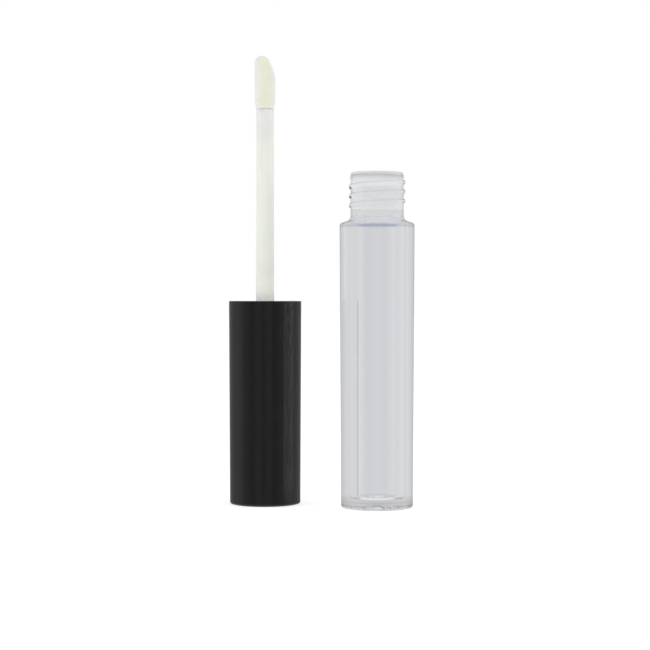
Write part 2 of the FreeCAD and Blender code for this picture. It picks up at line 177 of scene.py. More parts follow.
def thread_relief(wall, crest, start, turns, angle):
    """A right-handed ridge wound on a wall, outwards or inwards, fading at both its ends."""

    def relief(angles, radius, height):
        rise = np.zeros_like(angles)
        if abs(radius - wall) > ON_WALL:
            return rise
        turned = ((angles - math.radians(angle)) % math.tau) / math.tau
        for number in range(math.ceil(turns) + 1):
            wound = turned + number
            off = np.abs(height - start - PITCH * wound)
            flank = smooth((THREAD_ROOT_WIDTH / 2 - off) / THREAD_FLANK_WIDTH)
            fade = smooth(np.minimum(wound, turns - wound) / THREAD_FADE)
            rise = np.maximum(rise, flank * fade)
        return rise * (crest - wall)

    return relief


def slanted(top, top_offset, radius, crown=0.0, flat=0.0):
    """A rod's section, less what lies beyond a bulging slant that rises from its +X side to
    top_offset at the top. A crown is the height over which the slant rolls over into the top,
    which is flat out to the radius given."""
    start = np.array((radius + SLANT_LEAD, SLANT_START))
    end = np.array((top_offset, top))
    chord = np.linalg.norm(end - start)
    reach = (chord**2 / 4 + SLANT_BULGE**2) / (2 * SLANT_BULGE)
    along = (end - start) / chord
    outward = np.array((along[1], -along[0]))
    centre = (start + end) / 2 + outward * (SLANT_BULGE - reach)
    hardly_facing, far_away = 0.01, 1000 * radius

    def shape(angles, ring, height):
        if height < SLANT_START:
            return circle(angles, ring, height)
        face = centre[0] + math.sqrt(max(0, reach**2 - (height - centre[1]) ** 2))
        if height > top - ON_AXIS and ring < flat:
            far_x, far_y = shape(angles, flat, height)
            nearby = (face - crown - flat) / 2
            return nearby + (far_x - nearby) * ring / flat, far_y * ring / flat
        if height > top - crown:
            rise = 1 - (top - height) / crown
            face -= crown * (1 - math.sqrt(1 - min(rise, 1) ** 2))
        middle = (min(face, ring) - ring) / 2
        spoke_x, spoke_y = np.cos(angles), np.sin(angles)
        to_rod = -middle * spoke_x + np.sqrt(ring**2 - (middle * spoke_y) ** 2)
        to_face = (face - middle) / np.maximum(spoke_x, hardly_facing)
        to_face = np.where(spoke_x > hardly_facing, to_face, far_away)
        nearer, other = np.minimum(to_rod, to_face), np.maximum(to_rod, to_face)
        reach_out = nearer - SLANT_EDGE * np.exp(-(other - nearer) / SLANT_EDGE) / 2
        return middle + reach_out * spoke_x, reach_out * spoke_y

    return shape


def turned(name, points, axis, shape=circle, segments=SEGMENTS):
    """A mesh of points turned round an axis, closed on itself unless its ends are on the axis."""
    angles = np.arange(segments) * math.tau / segments
    vertices, rings = [], []
    for radius, height in points:
        first = len(vertices)
        if radius < ON_AXIS:
            vertices.append([0.0, 0.0, height])
        else:
            across, along = shape(angles, radius, height)
            vertices += [[x, y, height] for x, y in zip(across, along)]
        rings.append(list(range(first, len(vertices))))
    for end, neighbour in ((rings[0], rings[1]), (rings[-1], rings[-2])):
        if len(end) == 1:
            vertices[end[0]][:2] = np.mean([vertices[v][:2] for v in neighbour], axis=0)
    if len(rings[0]) > 1 and len(rings[-1]) > 1:
        rings.append(rings[0])
    faces = []
    for lower, upper in zip(rings, rings[1:]):
        for n in range(segments):
            following = (n + 1) % segments
            ring = [lower[n % len(lower)], lower[following % len(lower)]]
            ring += [upper[following % len(upper)], upper[n % len(upper)]]
            faces.append(list(dict.fromkeys(ring)))
    places = (np.array(vertices) + (*axis, 0)) * MM
    return mesh_object(name, places, faces)


def mesh_object(name, places, faces):
    """A mesh in the scene, its faces turned outwards, smooth but for edges sharper than CREASE."""
    mesh = bpy.data.meshes.new(name)
    mesh.from_pydata([tuple(p) for p in places], [], faces)
    work = bmesh.new()
    work.from_mesh(mesh)
    bmesh.ops.remove_doubles(work, verts=work.verts, dist=SAME_PLACE * MM)
    bmesh.ops.recalc_face_normals(work, faces=work.faces)
    work.to_mesh(mesh)
    work.free()
    mesh.shade_smooth()
    mesh.set_sharp_from_angle(angle=CREASE)
    piece = bpy.data.objects.new(name, mesh)
    bpy.context.scene.collection.objects.link(piece)
    return piece


def show(piece, body, node, material):
    """Put a piece on its CAD body, in its node's place, with its finish, and hide the node."""
    piece.data.materials.append(material)
    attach(piece, body)
    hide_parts(node)


def stage(piece, material, *unseen_by):
    """Give the floor or a card its material, and make it unseen by some kinds of ray."""
    piece.data.materials.append(material)
    for kind in unseen_by:
        setattr(piece, "visible_" + kind, False)


# ---------------------------------------------------------------- node trees
MIX_INPUTS, MIX_OUTPUT = (0, 6, 7), 2


class Nodes:
    """A node tree, with short calls that add a node, feed it and give its output. Where a call
    takes a number or a colour, another node's output does as well."""

    def __init__(self, owner):
        owner.use_nodes = True
        self.nodes = owner.node_tree.nodes
        self.links = owner.node_tree.links

    def add(self, kind, **settings):
        node = self.nodes.new(kind)
        for name, value in settings.items():
            setattr(node, name, value)
        return node

    def feed(self, socket, value):
        """Give a socket another node's output, a number or a colour."""
        if isinstance(value, bpy.types.NodeSocket):
            self.links.new(value, socket)
        else:
            socket.default_value = (*value, 1) if isinstance(value, tuple) else value

    def number(self, kind, first, second=0.0):
        """One step of arithmetic, or a comparison that gives 0 or 1."""
        node = self.add("ShaderNodeMath", operation=kind)
        self.feed(node.inputs[0], first)
        self.feed(node.inputs[1], second)
        return node.outputs[0]

    def mixed(self, factor, first, second, mode="MIX"):
        """The first colour where the factor is 0, and the second where it is 1."""
        node = self.add("ShaderNodeMix", data_type="RGBA", blend_type=mode)
        for socket, value in zip(MIX_INPUTS, (factor, first, second)):
            self.feed(node.inputs[socket], value)
        return node.outputs[MIX_OUTPUT]

    def ramp(self, factor, *stops, interpolation="LINEAR"):
        """Colours along a factor; each stop is (position, colour) or (position, grey)."""
        node = self.add("ShaderNodeValToRGB")
        node.color_ramp.interpolation = interpolation
        while len(node.color_ramp.elements) < len(stops):
            node.color_ramp.elements.new(0.5)
        for element, (position, colour) in zip(node.color_ramp.elements, stops):
            element.position = position
            element.color = (*colour, 1) if isinstance(colour, tuple) else (colour,) * 3 + (1,)
        self.feed(node.inputs["Fac"], factor)
        return node.outputs["Color"]

    def between(self, value, low, high):
        """0 below low, 1 above high, with soft ends."""
        node = self.add("ShaderNodeMapRange", interpolation_type="SMOOTHSTEP")
        self.feed(node.inputs["From Min"], low)
        self.feed(node.inputs["From Max"], high)
        self.feed(node.inputs["Value"], value)
        return node.outputs["Result"]

    def band(self, value, low, high, soft):
        """1 from low to high and 0 outside, with soft ends."""
        above = self.between(value, low - soft / 2, low + soft / 2)
        below = self.between(value, high + soft / 2, high - soft / 2)
        return self.number("MULTIPLY", above, below)

    def parts(self, vector):
        """A vector's three coordinates."""
        node = self.add("ShaderNodeSeparateXYZ")
        self.feed(node.inputs[0], vector)
        return node.outputs


class Finish(Nodes):
    """A procedural material: a Principled shader, and the patterns that feed it."""

    def __init__(self, name, **inputs):
        self.material = bpy.data.materials.new(name)
        super().__init__(self.material)
        self.shader = self.nodes["Principled BSDF"]
        self.place = self.add("ShaderNodeTexCoord").outputs["Object"]
        for socket, value in inputs.items():
            self.shader.inputs[socket.replace("_", " ")].default_value = value

    def stretched(self, across, along):
        """Object coordinates in grains: so many to a metre across, and so many up the height."""
        node = self.add("ShaderNodeMapping")
        node.inputs["Scale"].default_value = (across, across, along)
        self.feed(node.inputs["Vector"], self.place)
        return node.outputs["Vector"]

    def grain(self, across, along=None, detail=3.0):
        """Soft noise from 0 to 1, about 0.5."""
        node = self.add("ShaderNodeTexNoise")
        self.feed(node.inputs["Scale"], 1.0)
        self.feed(node.inputs["Detail"], detail)
        self.feed(node.inputs["Roughness"], 0.55)
        self.feed(node.inputs["Vector"], self.stretched(across, along or across))
        return node.outputs["Fac"]

    def cells(self, across):
        """Foam cells: the distance from each cell's middle."""
        node = self.add("ShaderNodeTexVoronoi")
        self.feed(node.inputs["Scale"], 1.0)
        self.feed(node.inputs["Vector"], self.stretched(across, across))
        return node.outputs["Distance"]

    def height(self):
        """The height above the floor, in millimetres."""
        return self.number("MULTIPLY", self.parts(self.place)["Z"], 1 / MM)

    def above_ridge(self):
        """How far a point on the neck stands above the thread's middle, in pitches, from 0 to 1."""
        x, y, z = self.parts(self.place)
        across = self.number("SUBTRACT", x, BOTTLE_AXIS[0] * MM)
        along = self.number("SUBTRACT", y, BOTTLE_AXIS[1] * MM)
        angle = self.number("DIVIDE", self.number("ARCTAN2", along, across), math.tau)
        angle = self.number("SUBTRACT", angle, THREAD_ANGLE / 360)
        wound = self.number("DIVIDE", self.number("SUBTRACT", z, THREAD_START * MM), PITCH * MM)
        return self.number("FRACT", self.number("SUBTRACT", wound, angle))

    def drive(self, socket, output):
        """Feed one of the shader's inputs."""
        self.feed(self.shader.inputs[socket], output)

    def bump(self, height, depth, strength):
        """Relief, in millimetres, for the shader's normals."""
        node = self.add("ShaderNodeBump")
        self.feed(node.inputs["Strength"], strength)
        self.feed(node.inputs["Distance"], depth * MM)
        self.feed(node.inputs["Height"], height)
        self.drive("Normal", node.outputs["Normal"])


# ---------------------------------------------------------------- materials
def clear_plastic():
    """Clear styrene: a cool cast, slight flow waves up the wall, and a few dull spots. It is
    tinted darker in the thick base, at the shoulder's edge and on the thread's upper flank: painted
    shade, for the dark bands that the glass shows there."""
    finish = Finish("clear_plastic", IOR=1.5, Transmission_Weight=1.0)
    cast = finish.grain(120, 30)
    colour = finish.ramp(cast, (0.3, (0.975, 0.985, 0.998)), (0.7, (0.985, 0.992, 1.0)))
    height = finish.height()
    # Painted shade: the thick base is tinted darker.
    base = finish.band(height, 0.5, 1.95, 0.6)
    colour = finish.mixed(base, colour, (0.75, 0.73, 0.735))
    # Painted shade: a cool dark ring at the shoulder's edge.
    edge = finish.band(height, SHOULDER_HEIGHT - 0.8, SHOULDER_HEIGHT, 0.25)
    colour = finish.mixed(edge, colour, (0.72, 0.755, 0.83))
    # Painted shade: a cool dark band on the thread's upper flank.
    threaded = finish.band(height, THREAD_START + 0.3, THREAD_START + THREAD_TURNS * PITCH, 0.4)
    flank = finish.number("MULTIPLY", finish.band(finish.above_ridge(), 0.1, 0.24, 0.08), threaded)
    finish.drive("Base Color", finish.mixed(flank, colour, (0.72, 0.76, 0.86)))
    finish.drive("Roughness", finish.ramp(finish.grain(900, 500), (0.45, 0.012), (0.72, 0.05)))
    finish.bump(finish.grain(260, 22, detail=1.0), 0.012, 0.35)
    return finish.material


def soft_natural_plastic():
    """Milky low-density polyethylene: waxy, and lit through. The sleeve is painted paler above
    and below the thread, as painted light, and the flange darker, as painted shade, since no
    glass dims it."""
    radius = (1.0, 1.0, 1.0)
    finish = Finish(
        "soft_natural_plastic",
        IOR=1.5, Subsurface_Weight=0.5, Subsurface_Scale=MM, Subsurface_Radius=radius,
    )
    milk = finish.grain(700)
    colour = finish.ramp(milk, (0.35, (0.80, 0.798, 0.795)), (0.7, (0.84, 0.838, 0.832)))
    height = finish.height()
    # Painted light: outside the thread's band the sleeve is painted paler, against the shade under
    # the flange and in the funnel.
    band_without_painted_light = finish.band(height, 69.5, 75.0, 1.4)
    colour = finish.mixed(band_without_painted_light, (0.91, 0.91, 0.91), colour)
    # Painted shade: the flange, lit outside the glass, is painted darker than the sleeve.
    flange = finish.between(height, NECK_HEIGHT - 0.05, NECK_HEIGHT + 0.05)
    finish.drive("Base Color", finish.mixed(flange, colour, (0.62, 0.62, 0.62)))
    finish.drive("Roughness", finish.ramp(finish.grain(2500), (0.3, 0.34), (0.7, 0.5)))
    finish.bump(finish.grain(4000), 0.01, 0.4)
    return finish.material


def gloss_black_plastic():
    """Polished black shell: faint orange peel, hairline rub marks, a little dust in its gloss."""
    finish = Finish("gloss_black_plastic", IOR=1.5, Coat_Weight=0.25, Coat_Roughness=0.05)
    black, worn_black = (0.0042, 0.0042, 0.0048), (0.0062, 0.006, 0.0066)
    finish.drive("Base Color", finish.ramp(finish.grain(300), (0.3, black), (0.7, worn_black)))
    rubs = finish.ramp(finish.grain(9000, 260, detail=2.0), (0.62, 0.0), (0.75, 0.07))
    haze = finish.ramp(finish.grain(160), (0.3, 0.15), (0.75, 0.21))
    finish.drive("Roughness", finish.mixed(1.0, haze, rubs, "ADD"))
    finish.bump(finish.grain(1100, 900, detail=1.0), 0.004, 0.35)
    return finish.material


def liner_plastic():
    """The moulded liner: satin black, with a fine sparked grain."""
    finish = Finish("liner_plastic", IOR=1.49)
    black, worn_black = (0.012, 0.012, 0.013), (0.02, 0.02, 0.021)
    finish.drive("Base Color", finish.ramp(finish.grain(500), (0.3, black), (0.7, worn_black)))
    finish.drive("Roughness", finish.ramp(finish.grain(3000), (0.3, 0.38), (0.7, 0.52)))
    finish.bump(finish.grain(7000), 0.012, 0.5)
    return finish.material


def gasket_foam():
    """White expanded polyethylene, with the fine cells of its cut face."""
    finish = Finish("gasket_foam", Roughness=0.75, Subsurface_Weight=0.3, Subsurface_Scale=MM)
    cells = finish.cells(5200)
    cell, cell_wall = (0.7, 0.7, 0.68), (0.86, 0.86, 0.84)
    finish.drive("Base Color", finish.ramp(cells, (0.1, cell), (0.6, cell_wall)))
    finish.bump(cells, 0.05, 0.6)
    return finish.material


def natural_plastic():
    """The wand's uncoloured polypropylene: faintly yellow, waxy, with a fine draw grain. It is
    painted paler towards its root and towards the foot: painted light, against the shade of the cap
    and foot."""
    radius = (0.9, 0.9, 0.7)
    finish = Finish(
        "natural_plastic",
        IOR=1.49, Subsurface_Weight=0.9, Subsurface_Scale=3 * MM, Subsurface_Radius=radius,
    )
    draw = finish.grain(600, 120)
    colour = finish.ramp(draw, (0.3, (0.72, 0.735, 0.69)), (0.7, (0.745, 0.76, 0.715)))
    height = finish.height()
    # Painted light: the wand is painted paler near its root, where the cap's mouth shades it.
    above_painted_root_light = finish.between(height, 48.4, 56.0)
    colour = finish.mixed(above_painted_root_light, (0.93, 0.93, 0.89), colour)
    # Painted light: paler towards the foot, and paler still right under it, where the foot shades
    # the rod.
    painted_light_near_foot = finish.between(height, 85.0, 92.5)
    colour = finish.mixed(painted_light_near_foot, colour, (0.805, 0.81, 0.74))
    painted_light_under_foot = finish.between(height, 92.6, 93.7)
    finish.drive("Base Color", finish.mixed(painted_light_under_foot, colour, (0.94, 0.93, 0.84)))
    finish.drive("Roughness", finish.ramp(finish.grain(2600, 500), (0.3, 0.32), (0.7, 0.46)))
    finish.bump(finish.grain(3600, 300), 0.008, 0.35)
    return finish.material


def core_plastic():
    """The doe-foot's core, in the wand's own kind of plastic, but whiter."""
    finish = Finish("core_plastic", IOR=1.49, Subsurface_Weight=0.3, Subsurface_Scale=MM)
    finish.drive("Base Color", finish.ramp(finish.grain(900), (0.3, 0.76), (0.7, 0.82)))
    finish.drive("Roughness", finish.ramp(finish.grain(3000), (0.3, 0.4), (0.7, 0.55)))
    finish.bump(finish.grain(4000), 0.01, 0.4)
    return finish.material


def flocking_glue():
    """Cured flocking glue: amber to peach, wet-looking."""
    finish = Finish("flocking_glue", IOR=1.5, Subsurface_Weight=0.5, Subsurface_Scale=MM)
    amber, peach = (0.78, 0.5, 0.34), (0.86, 0.62, 0.45)
    finish.drive("Base Color", finish.ramp(finish.grain(1500), (0.3, amber), (0.7, peach)))
    finish.drive("Roughness", finish.ramp(finish.grain(2500), (0.3, 0.2), (0.7, 0.38)))
    finish.bump(finish.grain(2500), 0.03, 0.5)
    return finish.material


def flock():
    """Short cream fibres on end: soft and matt, with a pale painted sheen in the colour at the rim,
    and peach at the root, where glue shows."""
    radius = (0.6, 0.55, 0.45)
    finish = Finish(
        "flock",
        Roughness=0.95, Sheen_Weight=0.35, Sheen_Roughness=0.5,
        Subsurface_Weight=0.35, Subsurface_Scale=MM, Subsurface_Radius=radius,
    )
    pile = finish.grain(9000, 7000, detail=2.0)
    cream = finish.ramp(pile, (0.3, (0.77, 0.76, 0.625)), (0.7, (0.865, 0.855, 0.72)))
    # Painted sheen: the colour turns pale where the surface faces away, and the glue's peach shows
    # less there.
    painted_sheen_facing = finish.add("ShaderNodeLayerWeight")
    finish.feed(painted_sheen_facing.inputs["Blend"], 0.35)
    rim = finish.between(painted_sheen_facing.outputs["Facing"], 0.03, 0.38)
    colour = finish.mixed(rim, cream, (0.80, 0.81, 0.77))
    uneven = finish.number("MULTIPLY", finish.grain(2200), 0.5)
    lift = finish.number("ADD", finish.height(), uneven)
    glue = finish.number("SUBTRACT", 1.0, finish.between(lift, BEAD_TOP, BEAD_TOP + 0.5))
    share = finish.number("SUBTRACT", 0.45, finish.number("MULTIPLY", rim, 0.4))
    glue = finish.number("MULTIPLY", glue, share)
    finish.drive("Base Color", finish.mixed(glue, colour, (0.89, 0.77, 0.63)))
    finish.bump(pile, 0.08, 0.7)
    return finish.material


def card_white(name, glow):
    """A matt card or floor that glows by itself, and lights nothing by it."""
    finish = Finish(
        name,
        Roughness=0.9, Specular_IOR_Level=0.0,
        Emission_Color=(1, 1, 1, 1), Emission_Strength=glow,
    )
    finish.material.cycles.emission_sampling = "NONE"
    return finish


# ---------------------------------------------------------------- pieces on the bottle's side
def make_bottle():
    """Outer face from the middle of the dimpled base up to the rim, and down the bore."""
    sphere = (DIMPLE_RADIUS**2 + DIMPLE_DEPTH**2) / (2 * DIMPLE_DEPTH)
    edge = math.asin(DIMPLE_RADIUS / sphere)
    angles = [edge * n / DIMPLE_STEPS for n in range(DIMPLE_STEPS)]
    middle = DIMPLE_DEPTH - sphere
    dimple = [(sphere * math.sin(a), middle + sphere * math.cos(a)) for a in angles]
    wall = outline(
        (DIMPLE_RADIUS, 0, 0),
        (BASE_RADIUS, 0, 0.55),
        (SHOULDER_RADIUS, SHOULDER_HEIGHT, 0.9),
        (NECK_RADIUS, NECK_ROOT_HEIGHT, 1.35),
        (NECK_RADIUS, NECK_HEIGHT, 0.25),
        (BORE_RADIUS, NECK_HEIGHT, 0.12),
        (BORE_RADIUS, FLOOR_HEIGHT, 0.7),
        (0, FLOOR_HEIGHT, 0),
    )
    wall = finer(wall, THREAD_ROW, NECK_ROOT_HEIGHT, NECK_HEIGHT, NECK_RADIUS)
    wall = finer(wall, 3.0)
    ridge = thread_relief(NECK_RADIUS, THREAD_RADIUS, THREAD_START, THREAD_TURNS, THREAD_ANGLE)
    piece = turned("bottle_wall", dimple + wall, BOTTLE_AXIS, raised(ridge))
    piece.visible_shadow = False
    show(piece, "bottle", "bottle", clear_plastic())


def make_wiper():
    """The plug: wiping lip, funnel, sleeve with two beads, and the flange on the bottle's rim."""
    low, top = WIPER_BOTTOM, WIPER_TOP
    corners = [
        (WIPER_LIP, low, 0.1),
        (WIPER_LIP + 0.45, low, 0.1),
        (WIPER_SLEEVE, low + 2.4, 0.6),
    ]
    for start in (low + 4.77, low + 7.95):
        corners += [(WIPER_SLEEVE, start, 0.05), (WIPER_BEAD, start + 0.125, 0.05)]
        corners += [(WIPER_BEAD, start + 0.375, 0.05), (WIPER_SLEEVE, start + 0.5, 0.05)]
    corners += [
        (WIPER_SLEEVE, NECK_HEIGHT, 0.05),
        (WIPER_FLANGE, NECK_HEIGHT, 0.08),
        (WIPER_FLANGE, top, 0.4),
        (WIPER_BORE, top, 0.15),
        (WIPER_BORE, low + 2.85, 0.5),
        (WIPER_LIP, low + 0.45, 0.1),
    ]
    wall = finer(outline(*corners), 1.0)
    piece = turned("wiper_plug", wall, BOTTLE_AXIS, segments=128)
    show(piece, "wiper", "wiper", soft_natural_plastic())


# ---------------------------------------------------------------- pieces on the cap's side
def make_outer_cap():
    """The black shell, standing on its closed end."""
    shell = outline(
        (0, 0, 0),
        (CAP_RADIUS, 0, 0.55),
        (CAP_MOUTH_RADIUS, CAP_LENGTH, 0.2),
        (CAP_BORE, CAP_LENGTH, 0.2),
        (CAP_BORE, CAP_STEP, 0.1),
        (CAP_LOWER_BORE, CAP_STEP, 0.1),
        (CAP_LOWER_BORE, CAP_FLOOR, 0.5),
        (0, CAP_FLOOR, 0),
    )
    piece = turned("outer_cap_shell", finer(shell, 4.0), CAP_AXIS)
    show(piece, "applicator", "outer_cap", gloss_black_plastic())


def make_inner_cap():
    """The liner: ribbed outside, threaded inside, with a boss below its disc for the wand."""
    start, turns = LINER_THREAD_START, LINER_THREAD_TURNS
    thread = thread_relief(LINER_WALL, LINER_THREAD_RADIUS, start, turns, LINER_THREAD_ANGLE)
    ribs_low, ribs_high = CAP_STEP + 1, CAP_STEP + 21

    def relief(angles, radius, height):
        if abs(radius - LINER_RADIUS) > ON_WALL or not ribs_low < height < ribs_high:
            return thread(angles, radius, height)
        spacing = math.tau / RIB_COUNT
        off = np.abs((angles + spacing / 2) % spacing - spacing / 2) * radius
        return RIB_HEIGHT * np.clip((RIB_WIDTH / 2 - off) / (RIB_WIDTH / 4), 0, 1)

    cup = outline(
        (LINER_SKIRT, CAP_STEP, 0.1),
        (LINER_RADIUS, CAP_STEP, 0.1),
        (LINER_RADIUS, LINER_TOP, 0.1),
        (LINER_WALL + 0.35, LINER_TOP, 0.05),
        (LINER_WALL, LINER_TOP - 0.35, 0.05),
        (LINER_WALL, LINER_SEAT, 0.15),
        (SHANK_RADIUS, LINER_SEAT, 0.05),
        (SHANK_RADIUS, BOSS_BOTTOM, 0.1),
        (BOSS_RADIUS, BOSS_BOTTOM, 0.2),
        (BOSS_RADIUS, DISC_BOTTOM, 0.3),
        (LINER_SKIRT, DISC_BOTTOM, 0.2),
    )
    cup = finer(cup, THREAD_ROW, LINER_SEAT, LINER_TOP, LINER_WALL)
    cup = finer(cup, 1.0)
    piece = turned("inner_cap_liner", cup, CAP_AXIS, raised(relief))
    show(piece, "applicator", "inner_cap", liner_plastic())


def make_cap_gasket():
    """The foam ring on the liner's disc."""
    ring = outline(
        (GASKET_HOLE, GASKET_BOTTOM, 0.08),
        (GASKET_RADIUS, GASKET_BOTTOM, 0.08),
        (GASKET_RADIUS, GASKET_TOP, 0.2),
        (GASKET_HOLE, GASKET_TOP, 0.2),
    )
    piece = turned("gasket_ring", finer(ring, 0.5), CAP_AXIS, segments=128)
    show(piece, "cap_seal", "cap_gasket", gasket_foam())


def make_wand_stem():
    """The rod: a shank in the boss, a flange, the long taper with its mould seams, a socket."""

    def seams(angles, radius, height):
        if height < FLANGE_TOP or radius < ROD_RADIUS - ON_WALL:
            return np.zeros_like(angles)
        off = np.abs((angles + math.pi / 2) % math.pi - math.pi / 2) * radius
        return SEAM_HEIGHT * np.clip(1 - off / SEAM_HALF_WIDTH, 0, 1)

    rod = outline(
        (0, SHANK_BOTTOM, 0),
        (SHANK_RADIUS - 0.5, SHANK_BOTTOM, 0),
        (SHANK_RADIUS, SHANK_BOTTOM + 0.5, 0),
        (SHANK_RADIUS, LINER_SEAT, 0.05),
        (FLANGE_RADIUS, LINER_SEAT, 0.1),
        (FLANGE_RADIUS, FLANGE_TOP, 0.25),
        (ROD_ROOT, FLANGE_TOP, 0.3),
        (ROD_RADIUS, ROD_TAPER_END, 0),
        (ROD_RADIUS, ROD_END, 0.12),
        (SOCKET_RADIUS, ROD_END, 0.1),
        (SOCKET_RADIUS, ROD_END - SOCKET_DEPTH, 0.1),
        (0, ROD_END - SOCKET_DEPTH, 0),
    )
    piece = turned("wand_rod", finer(rod, 2.0), CAP_AXIS, raised(seams), segments=144)
    show(piece, "applicator", "wand_stem", natural_plastic())


def make_applicator_core():
    """The slanted core, on the peg that the wand's socket holds."""
    rod = outline(
        (0, PEG_BOTTOM, 0),
        (PEG_RADIUS, PEG_BOTTOM, 0.2),
        (PEG_RADIUS, ROD_END, 0),
        (CORE_RADIUS, ROD_END, 0),
        (CORE_RADIUS, CORE_TOP, CORE_ROUND),
        (0, CORE_TOP, 0),
    )
    section = slanted(CORE_TOP, CORE_SLANT_TOP, CORE_RADIUS)
    piece = turned("doe_foot_core", finer(rod, 0.5), CAP_AXIS, section, segments=96)
    show(piece, "applicator", "applicator_core", core_plastic())


def make_adhesive_bead():
    """The glue's ring round the root of the core."""
    ring = outline(
        (CORE_RADIUS, ROD_END, 0), (BEAD_RADIUS, ROD_END, 0.12), (CORE_RADIUS, BEAD_TOP, 0)
    )
    piece = turned("glue_bead", finer(ring, 0.2), CAP_AXIS, segments=96)
    show(piece, "applicator", "adhesive_bead", flocking_glue())


def make_flock_tip():
    """The flocked doe-foot: its soft outer shape, and the fibres that stand out of it."""
    rod = outline(
        (CORE_RADIUS, ROD_END, 0),
        (ROD_RADIUS + 0.05, ROD_END, 0.05),
        (FOOT_RADIUS, ROD_END + 2.8, 2.0),
        (FOOT_RADIUS, FOOT_TOP, FOOT_ROUND),
        (0.3, FOOT_TOP, 0),
        (0, FOOT_TOP, 0),
    )
    rod = [(0, ROD_END)] + finer(rod, 0.16)
    flat = FOOT_RADIUS - FOOT_ROUND
    section = slanted(FOOT_TOP, SLANT_TOP, FOOT_RADIUS, FOOT_CROWN, flat)
    piece = turned("flock_tip_pile", rod, CAP_AXIS, section, segments=120)
    ruffle(piece.data, RUFFLE_DEPTH, RUFFLE_GRAINS)
    add_fibres(piece.data, FIBRES)
    show(piece, "applicator", "flock_tip", flock())


def ruffle(mesh, depth, grains):
    """Push the surface in and out by soft noise: depth in millimetres, grains to a millimetre."""
    moves = [noise.noise(v.co / MM * grains) * depth * MM for v in mesh.vertices]
    places = [v.co + v.normal * move for v, move in zip(mesh.vertices, moves)]
    for vertex, place in zip(mesh.vertices, places):
        vertex.co = place


def add_fibres(mesh, count):
    """Stand thin closed three-sided fibres on the surface, leaning a little each way."""
    draw = np.random.default_rng(SEED)
    mesh.calc_loop_triangles()
    corners = np.array([[mesh.vertices[v].co for v in t.vertices] for t in mesh.loop_triangles])
    sides = np.cross(corners[:, 1] - corners[:, 0], corners[:, 2] - corners[:, 0])
    areas = np.linalg.norm(sides, axis=1)
    shown = areas * (corners[:, :, 2].mean(1) > (ROD_END + 0.1) * MM)
    chosen = draw.choice(len(corners), size=count, p=shown / shown.sum())
    vertices = [tuple(v.co) for v in mesh.vertices]
    faces = [tuple(p.vertices) for p in mesh.polygons]
    for triangle in chosen:
        a, b = sorted(draw.random(2))
        root = corners[triangle].T @ np.array((a, b - a, 1 - b))
        up = sides[triangle] / areas[triangle]
        lean = up + draw.normal(0, FIBRE_LEAN, 3)
        lean /= np.linalg.norm(lean)
        length = draw.uniform(*FIBRE_LENGTH) * MM
        thick = draw.uniform(*FIBRE_RADIUS) * MM
        across = np.cross(lean, (0.3, 0.5, 0.8))
        across /= np.linalg.norm(across)
        beside = np.cross(lean, across)
        first = len(vertices)
        for turn in (0, math.tau / 3, 2 * math.tau / 3):
            spoke = across * math.cos(turn) + beside * math.sin(turn)
            vertices.append(tuple(root - up * FIBRE_ROOT * MM + spoke * thick))
        vertices.append(tuple(root + lean * length))
        faces += [
            (first, first + 1, first + 3),
            (first + 1, first + 2, first + 3),
            (first + 2, first, first + 3),
            (first, first + 2, first + 1),
        ]
    mesh.clear_geometry()
    mesh.from_pydata(vertices, [], faces)
    mesh.shade_smooth()


# ---------------------------------------------------------------- stage, light and camera
def make_floor():
    """A wide plain floor, a hair below the object's base, bright and barely mottled."""
    reach, drop = 6.0, 0.03 * MM
    corners = ((-reach, -reach), (reach, -reach), (reach, reach), (-reach, reach))
    places = [(x, y, -drop) for x, y in corners]
    floor = mesh_object("floor", places, [(0, 1, 2, 3)])
    finish = card_white("floor_white", FLOOR_GLOW)
    finish.drive("Base Color", finish.ramp(finish.grain(9), (0.3, 0.47), (0.7, 0.49)))
    stage(floor, finish.material, "glossy", "transmission")


def make_table_card():
    """The lit table right under the bottle, for what is seen down through its base."""
    steps, reach, drop = 64, BASE_RADIUS - 0.4, 0.02
    places = []
    for n in range(steps):
        x, y = circle(math.tau * n / steps, reach, -drop)
        places.append(((BOTTLE_AXIS[0] + x) * MM, (BOTTLE_AXIS[1] + y) * MM, -drop * MM))
    card = mesh_object("table_card", places, [tuple(range(steps))])
    finish = card_white("table_card", TABLE_GLOW)
    finish.shader.inputs["Base Color"].default_value = (0, 0, 0, 1)
    stage(card, finish.material, "camera", "diffuse", "glossy", "shadow")


